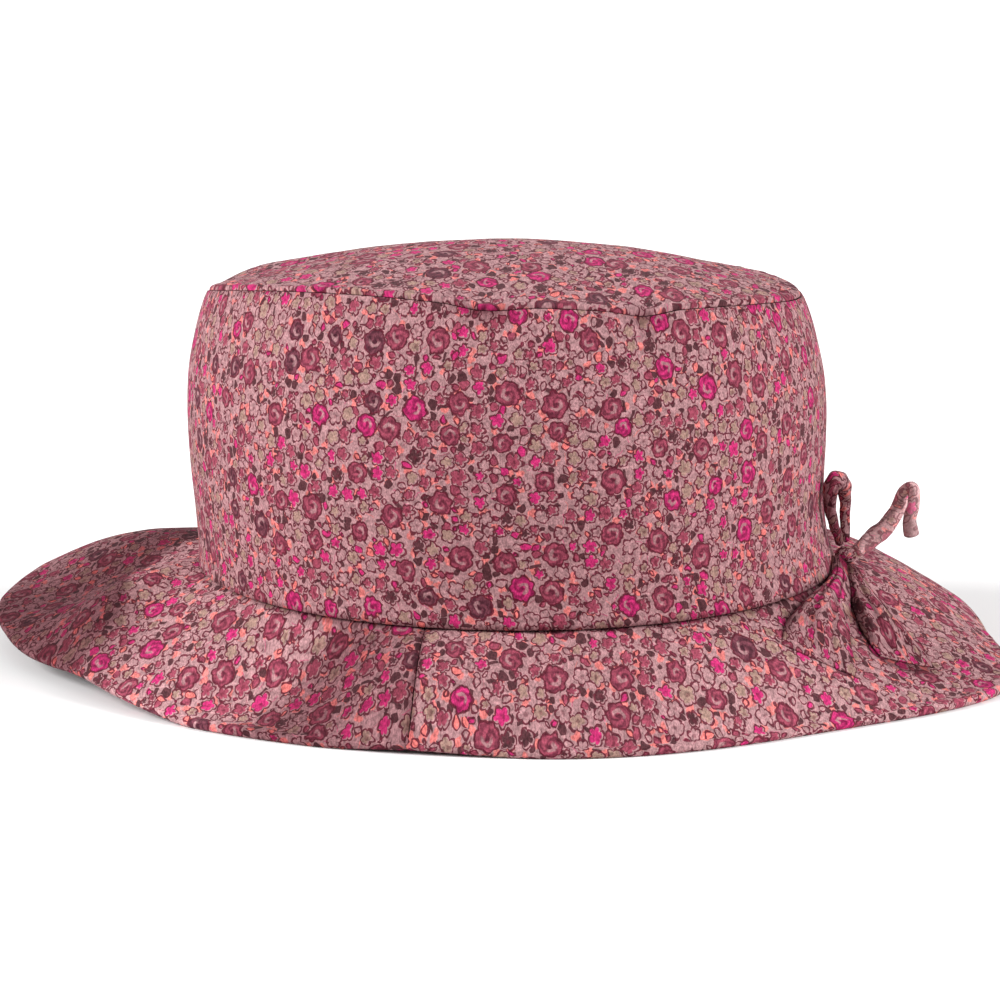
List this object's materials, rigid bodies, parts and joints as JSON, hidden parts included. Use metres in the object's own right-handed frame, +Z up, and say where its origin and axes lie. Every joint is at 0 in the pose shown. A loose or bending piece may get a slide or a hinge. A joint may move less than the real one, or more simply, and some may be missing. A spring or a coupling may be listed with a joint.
{
  "type": "child's rain hat",
  "caption": "Soft bucket-shaped rain hat in ditsy-flowered cotton, with an oval flat crown, a wide drooping brim in two panels and a small bow of the same cloth at one side.",
  "frame": {"origin": "middle of the hat's footprint, on the surface that it stands on", "axes": "+Z up, the wearer's face towards -Y, the wearer's left, with the bow, towards +X"},
  "size_m": [0.2426, 0.2744, 0.0973],
  "materials": {
    "printed_cotton": "matt plain-weave cotton with a dense small print of pink, plum and taupe flowers",
    "bow_cotton": "the same printed cotton, folded into strips and rolled"
  },
  "bodies": {
    "root": {"crown_tip": "printed_cotton", "crown_band": "printed_cotton", "brim_left_panel": "printed_cotton", "brim_right_panel": "printed_cotton", "bow_knot": "bow_cotton", "bow_loop": "bow_cotton", "bow_curl": "bow_cotton", "bow_tail_front": "bow_cotton", "bow_tail_side": "bow_cotton"}
  },
  "joints": []
}
